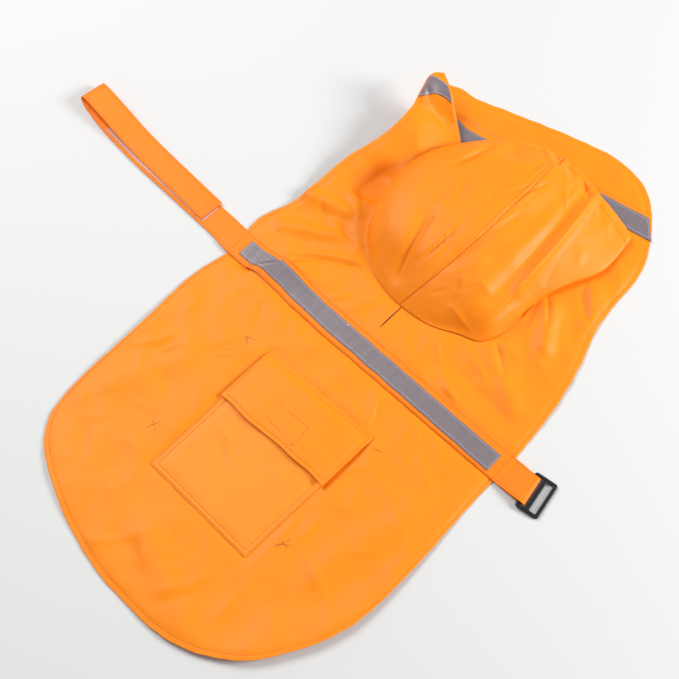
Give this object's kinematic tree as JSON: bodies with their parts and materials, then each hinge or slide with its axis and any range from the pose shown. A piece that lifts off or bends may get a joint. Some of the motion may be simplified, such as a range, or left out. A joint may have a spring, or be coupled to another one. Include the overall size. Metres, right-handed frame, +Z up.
{
  "type": "dog raincoat",
  "caption": "Hooded dog raincoat laid flat with its back up: rounded cape, patch pocket with flap, belt band with a long strap and a slider buckle, reflective tapes.",
  "frame": {"origin": "on the surface the coat lies on, under the middle of its bounding box", "axes": "+Z up, +Y from the hem over the back to the chest, +X to the side with the slider buckle"},
  "size_m": [0.8168, 0.841, 0.057],
  "materials": {
    "orange_cloth": "semi-matte coated polyester",
    "orange_strap": "semi-matte coated polyester",
    "reflective_tape": "grey glass-bead reflective",
    "hook_and_loop": "matte pile",
    "black_plastic": "satin moulded"
  },
  "bodies": {
    "root": {"cape_body": "orange_cloth", "hood_left": "orange_cloth", "hood_right": "orange_cloth", "pocket_patch": "orange_cloth", "pocket_flap": "orange_cloth", "belt_band": "orange_strap", "belt_tape": "reflective_tape", "belly_strap": "orange_strap", "strap_fastener": "hook_and_loop", "buckle_strap": "orange_strap", "slider_buckle": "black_plastic", "chest_tape_right": "reflective_tape", "chest_tape_left": "reflective_tape"}
  },
  "joints": []
}
